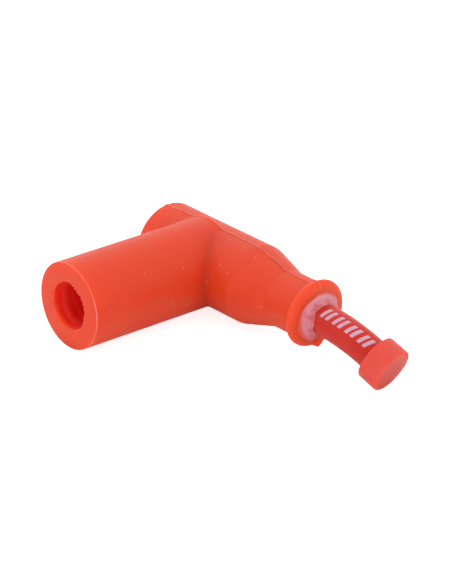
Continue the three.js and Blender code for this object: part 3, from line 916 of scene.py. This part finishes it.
def red_silicone():
    """The boot's satin silicone: cloudy pigment, painted light on the underside, on the lip and in the bore, painted
    shade in the crease, a painted highlight and shade along the mould line, a painted highlight on the mouth's rim, a
    paler inner edge at the mouth, and a little dust and stains.
    """
    material, tree, surface = new_material("red_silicone", 0.45, **SILICONE)
    point, (x, y, z) = boot_places(tree)
    from_wire_axis = length_of(tree, y, maths(tree, "ADD", z, WIRE_LEG_DROP))
    from_socket_axis = length_of(tree, x, z)
    cloud = use_group(tree, MOTTLE, vector=point, scale=0.16, contrast=1.8)
    colour = blend(tree, cloud, *PIGMENT_TONES)
    # Painted light: lighter and redder towards the bottom, to lift the shade under the legs
    colour = tint(tree, colour, UNDERSIDE_PAINTED_LIGHT, ramp(tree, z, start=-3.0, slope=-0.15))
    # Painted light: the lip is painted lighter, as if lit more strongly than the legs
    colour = tint(tree, colour, LIP_PAINTED_LIGHT, ramp(tree, x, start=LIP_CENTRE - 1.4, slope=2.0))
    # Painted shade in the crease between the legs
    colour = tint(tree, colour, CREASE_PAINTED_SHADE, crease_shade(tree, x, y, from_socket_axis, from_wire_axis))
    # Painted highlight along the fin's ridge, and painted shade just in front of it
    ridge_highlight, groove_shade = parting_line_light_and_shade(tree, point, x, y, from_wire_axis)
    colour = tint(tree, colour, GROOVE_PAINTED_SHADE, groove_shade)
    colour = tint(tree, colour, RIDGE_PAINTED_HIGHLIGHT, ridge_highlight)

    at_mouth = ramp(tree, y, start=0.26 - SOCKET_LENGTH, slope=-12.0)
    # Painted highlight on the mouth's outer rim, pinker lower down and more orange higher up
    rim_highlight_tone = blend(tree, ramp(tree, z, start=2.0, slope=0.2), *RIM_PAINTED_HIGHLIGHTS)
    colour = tint(tree, colour, rim_highlight_tone, rim_highlight(tree, point, at_mouth, from_socket_axis), 0.85)

    # Painted light in the bore: a brighter, deeper red that grows with depth, standing in for light through the
    # translucent wall
    depth = maths(tree, "ADD", y, SOCKET_LENGTH)
    past_elbow = ramp(tree, y, start=-WIRE_LEG_RADIUS - 1.0, slope=-1.0)
    in_bore = product(tree, ramp(tree, from_socket_axis, start=5.6, slope=-6.0), past_elbow)
    colour = tint(tree, colour, BORE_BAND_PAINTED_LIGHT, in_bore)
    colour = tint(tree, colour, BORE_PAINTED_LIGHT, in_bore, ramp(tree, depth, start=1.2, slope=1.6))
    colour = tint(tree, colour, BORE_DEEP_PAINTED_LIGHT, in_bore, ramp(tree, depth, start=3.6, slope=0.6))
    # Paler at the mouth's inner edge, round the nicks
    colour = tint(tree, colour, MOUTH_INNER_EDGE_TONE, ramp(tree, from_socket_axis, start=5.13, slope=-12.0), at_mouth, 0.85)

    dust = use_group(tree, DUST, vector=point, spacing=3.2, size=0.13, share=0.16)
    for centre, size in SPECKS:
        dust = maths(tree, "MAXIMUM", dust, use_group(tree, SPECK, vector=point, centre=centre, size=size))
    colour = tint(tree, colour, DUST_TONE, dust, 0.34)
    for centre, size in STAINS:
        stain = use_group(tree, SPECK, vector=point, centre=centre, size=size)
        colour = tint(tree, colour, STAIN_TONE, stain, 0.5)
    finish_surface(tree, surface, colour, cloud, gloss=(0.14, 0.38), grain=(point, 3.5, 0.35, GRAIN_DEPTH),
                   matt=dust)
    return material


# The print on the wire, in millimetres along and round it
PRINT_START = 30.8
PRINT_PITCH = 3.3
PRINT_MARKS = 4
PRINT_CENTRE = -1.75
PRINT_HEIGHT = 2.7
PRINT_SLANT = 0.3
PRINT_STROKE = 0.8
PRINT_GAP = 1.45
PRINT_FIRST = 0.75
PRINT_FRAY = 0.22
PRINT_SOFTNESS = 0.12
PRINT_END_SOFTNESS = 0.1


def wire_print(tree, unbent, rough):
    """The mask of a row of plain slanted double strokes with frayed edges."""
    along, y, z = place(tree, "ShaderNodeSeparateXYZ", {0: unbent}).outputs
    angle = maths(tree, "ARCTAN2", y, z)
    around = maths(tree, "SUBTRACT", product(tree, angle, WIRE_RADIUS), PRINT_CENTRE)
    leaning = maths(tree, "SUBTRACT", along, product(tree, around, PRINT_SLANT))
    from_start = maths(tree, "SUBTRACT", leaning, PRINT_START)
    in_mark = maths(tree, "WRAP", from_start, PRINT_PITCH, 0.0)
    frayed = maths(tree, "ADD", in_mark, product(tree, maths(tree, "SUBTRACT", rough, 0.5), PRINT_FRAY))
    first, second = (
        use_group(tree, LINE, value=frayed, centre=centre, width=PRINT_STROKE, softness=PRINT_SOFTNESS)
        for centre in (PRINT_FIRST, PRINT_FIRST + PRINT_GAP)
    )
    tall = use_group(tree, LINE, value=around, centre=0.0, width=PRINT_HEIGHT, softness=PRINT_SOFTNESS)
    row = use_group(tree, LINE, value=from_start, centre=PRINT_PITCH * PRINT_MARKS / 2,
                    width=PRINT_PITCH * PRINT_MARKS, softness=PRINT_END_SOFTNESS)
    return product(tree, maths(tree, "MAXIMUM", first, second), product(tree, tall, row))


def wire_silicone():
    """The wire's smooth jacket with its print and a little dust."""
    material, tree, surface = new_material("wire_silicone", 0.36, Specular_IOR_Level=0.42, **SILICONE)
    unbent = place(tree, "ShaderNodeAttribute", attribute_name="unbent").outputs["Vector"]
    rough = place(tree, "ShaderNodeTexNoise", {"Vector": unbent, "Scale": 5.0, "Detail": 2.0}).outputs["Fac"]
    ink = wire_print(tree, unbent, rough)
    texture = place(tree, "ShaderNodeTexCoord")
    close = place(tree, "ShaderNodeVectorMath", {0: texture.outputs["Object"], 3: 1 / MM}, operation="SCALE")
    point = close.outputs[0]
    cloud = use_group(tree, MOTTLE, vector=point, scale=0.3, contrast=1.6)
    colour = blend(tree, cloud, *WIRE_TONES)
    dust = use_group(tree, DUST, vector=point, spacing=2.6, size=0.11, share=0.14)
    colour = tint(tree, colour, WIRE_DUST_TONE, dust, 0.4)
    patchy = maths(tree, "MULTIPLY_ADD", rough, 0.35, 0.7)
    colour = blend(tree, maths(tree, "MULTIPLY", ink, patchy, clamp=True), colour, PRINT_TONE)
    finish_surface(tree, surface, colour, cloud, gloss=(0.12, 0.3), grain=(point, 3.0, 0.25, GRAIN_DEPTH), matt=ink)
    return material


def pale_sealant():
    """Milky sealant smeared thin at its outer edge, where the red shows through."""
    material, tree, surface = new_material(
        "pale_sealant", 0.3, IOR=1.41, Subsurface_Weight=0.3, Subsurface_Radius=(1.0, 0.6, 0.6),
        Subsurface_Scale=0.0008, Coat_Weight=0.15, Coat_Roughness=0.2,
    )
    _, (_, y, z) = boot_places(tree)
    height = maths(tree, "ADD", z, SEALANT_DROP)
    radius = length_of(tree, y, height)
    side, top = (maths(tree, "DIVIDE", part, radius) for part in (y, height))
    around = place(tree, "ShaderNodeCombineXYZ", {
        0: product(tree, side, 2.2), 1: product(tree, top, 2.2), 2: radius,
    }).outputs[0]
    cloud = use_group(tree, MOTTLE, vector=around, scale=0.8, contrast=2.6)
    streaks = use_group(tree, MOTTLE, vector=around, scale=1.7, contrast=3.0)
    wander = product(tree, maths(tree, "SUBTRACT", cloud, 0.5), 0.45)
    ragged_radius = maths(tree, "ADD", radius, wander)
    rim = use_group(tree, LINE, value=ragged_radius, centre=4.8, width=0.4, softness=0.6)
    upper = product(tree, maths(tree, "ADD", top, 0.3), 0.35)
    milky = maths(tree, "ADD", upper, product(tree, cloud, 0.6))
    milky = maths(tree, "ADD", milky, product(tree, rim, 0.45), clamp=True)
    colour = blend(tree, milky, *SEALANT_TONES)
    colour = tint(tree, colour, SEALANT_STREAK_TONE, streaks, 0.38)
    inner_tone = blend(tree, streaks, *SEALANT_INNER_TONES)
    colour = tint(tree, colour, inner_tone, ramp(tree, ragged_radius, start=4.35, slope=-1.4), 0.8)
    colour = tint(tree, colour, SEALANT_EDGE_TONE, ramp(tree, ragged_radius, start=4.95, slope=1.8))
    tree.links.new(colour, surface.inputs["Base Color"])
    add_bump(tree, surface, streaks, 0.4, 0.0001)
    return material


def end_cap_silicone():
    material, tree, surface = new_material("end_cap_silicone", 0.5, **SILICONE)
    point, _ = boot_places(tree)
    cloud = use_group(tree, MOTTLE, vector=point, scale=0.35, contrast=1.8)
    colour = blend(tree, cloud, *END_CAP_TONES)
    dust = use_group(tree, DUST, vector=point, spacing=2.4, size=0.12, share=0.16)
    colour = tint(tree, colour, END_CAP_DUST_TONE, dust, 0.4)
    finish_surface(tree, surface, colour, cloud, gloss=(0.14, 0.42), grain=(point, 3.5, 0.35, GRAIN_DEPTH))
    return material


def inner_finish(name, dark, light, roughness, scale, metallic=0.0):
    """A finish for the parts inside the boot: two tones in soft clouds, uneven gloss and a fine grain."""
    material, tree, surface = new_material(name, roughness, Metallic=metallic)
    point, _ = boot_places(tree)
    cloud = use_group(tree, MOTTLE, vector=point, scale=scale, contrast=2.2)
    colour = blend(tree, cloud, dark, light)
    finish_surface(tree, surface, colour, cloud, gloss=(-0.14, roughness + 0.07),
                   grain=(point, 5.0, 0.3, GRAIN_DEPTH / 2))
    return material


def dress(piece, material, node):
    piece.data.materials.clear()
    piece.data.materials.append(material)
    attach(piece, "root")
    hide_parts(node)


def finish_inner_parts():
    """Gives the parts inside the boot and the wire their metal, ceramic and rubber."""
    brass = inner_finish("brass", (0.55, 0.33, 0.1), (0.74, 0.5, 0.2), 0.32, 0.7, metallic=1.0)
    spring_steel = inner_finish("spring_steel", (0.42, 0.42, 0.43), (0.6, 0.6, 0.6), 0.34, 0.9, metallic=1.0)
    phenolic = inner_finish("phenolic", (0.016, 0.014, 0.013), (0.034, 0.029, 0.026), 0.45, 0.5)
    ceramic = inner_finish("ceramic", (0.66, 0.63, 0.56), (0.76, 0.74, 0.68), 0.4, 0.8)
    conductor = inner_finish("conductor", (0.5, 0.26, 0.12), (0.68, 0.4, 0.2), 0.36, 1.2, metallic=1.0)
    insulation = inner_finish("insulation", (0.5, 0.48, 0.44), (0.62, 0.6, 0.56), 0.55, 0.6)
    finishes = {
        "insulator_core": phenolic, "contact_sleeve": brass, "snap_ring": spring_steel,
        "contact_spring": spring_steel, "resistor_cap_plug_side": brass, "resistor_rod": ceramic,
        "resistor_cap_wire_side": brass, "elbow_contact": brass, "wire_screw": brass,
        "wire_conductor": conductor, "wire_insulation": insulation,
    }
    for name, material in finishes.items():
        for slot in frame["nodes"][name].material_slots:
            slot.material = material


# The table and the light

TABLE_SIZE = 4
TABLE_TONE = 0.88
TABLE_GLOW = 0.78

# The room's light, and how much dimmer its reflections are towards one side
ROOM_LIGHT = 0.97
DIM_SIDE = (0.69, -0.59, 0.42)
DIM_START = 0.1
DIM_END = 0.9
DIMMEST = 0.25

# The lamps' names, widths, powers, places and aims, in metres and watts
LAMPS = [
    ("overhead", 0.5, 0.25, (-0.1, -0.1, 0.6), (0, 0, 0)),
    ("front", 0.5, 0.12, (-0.3, -0.5, 0.16), (0, 0, 0.01)),
    ("low_fill", 0.5, 0.25, (0.25, -0.5, 0.06), (0, 0, 0.01)),
]


def white_table():
    """A white table that looks brighter to the camera than it is, and still shows the part's shadow."""
    deselect_all()
    bpy.ops.mesh.primitive_plane_add(size=TABLE_SIZE, location=(0, 0, 0))
    table = bpy.context.object
    table.name = "table"
    material, tree, surface = new_material("table_white", 0.9, Specular_IOR_Level=0.0)
    surface.inputs["Base Color"].default_value = (TABLE_TONE, TABLE_TONE, TABLE_TONE, 1)
    surface.inputs["Emission Color"].default_value = (1, 1, 1, 1)
    path = place(tree, "ShaderNodeLightPath")
    tree.links.new(product(tree, path.outputs["Is Camera Ray"], TABLE_GLOW), surface.inputs["Emission Strength"])
    table.data.materials.append(material)


def white_world():
    """An even room, seen as pure white, that reflections show dimmer towards one fixed side."""
    world = bpy.data.worlds.new("white_room")
    bpy.context.scene.world = world
    world.use_nodes = True
    tree = world.node_tree
    texture = place(tree, "ShaderNodeTexCoord")
    to_side = place(tree, "ShaderNodeVectorMath", {
        0: texture.outputs["Generated"], 1: DIM_SIDE,
    }, operation="DOT_PRODUCT")
    mirrored = place(tree, "ShaderNodeMapRange", {
        "Value": to_side.outputs["Value"], "From Min": DIM_START, "From Max": DIM_END, "To Min": 1.0, "To Max": DIMMEST,
    })
    path = place(tree, "ShaderNodeLightPath").outputs
    white = maths(tree, "MAXIMUM", path["Is Camera Ray"], path["Is Transmission Ray"])
    shown = maths(tree, "MAXIMUM", white, product(tree, path["Is Glossy Ray"], mirrored.outputs[0]))
    direct = maths(tree, "MAXIMUM", white, path["Is Glossy Ray"])
    rest = product(tree, maths(tree, "SUBTRACT", 1.0, direct), ROOM_LIGHT)
    background = tree.nodes["Background"]
    background.inputs["Color"].default_value = (1, 1, 1, 1)
    tree.links.new(maths(tree, "ADD", shown, rest), background.inputs["Strength"])


def soft_lamp(name, size, power, position, aim):
    light = bpy.data.lights.new(name, "AREA")
    light.shape = "DISK"
    light.size = size
    light.energy = power
    lamp = bpy.data.objects.new(name, light)
    bpy.context.scene.collection.objects.link(lamp)
    lamp.location = position
    lamp.rotation_euler = (Vector(aim) - Vector(position)).to_track_quat("-Z", "Y").to_euler()


make_camera()
bpy.context.scene.view_settings.view_transform = "Standard"

boot = make_boot()
wire = make_wire()
sealant = make_sealant()
end_cap = make_end_cap()

dress(boot, red_silicone(), "boot_jacket")
dress(wire, wire_silicone(), "wire_jacket")
dress(sealant, pale_sealant(), "wire_sealant")
dress(end_cap, end_cap_silicone(), "end_cap")
finish_inner_parts()

white_table()
white_world()
for lamp in LAMPS:
    soft_lamp(*lamp)
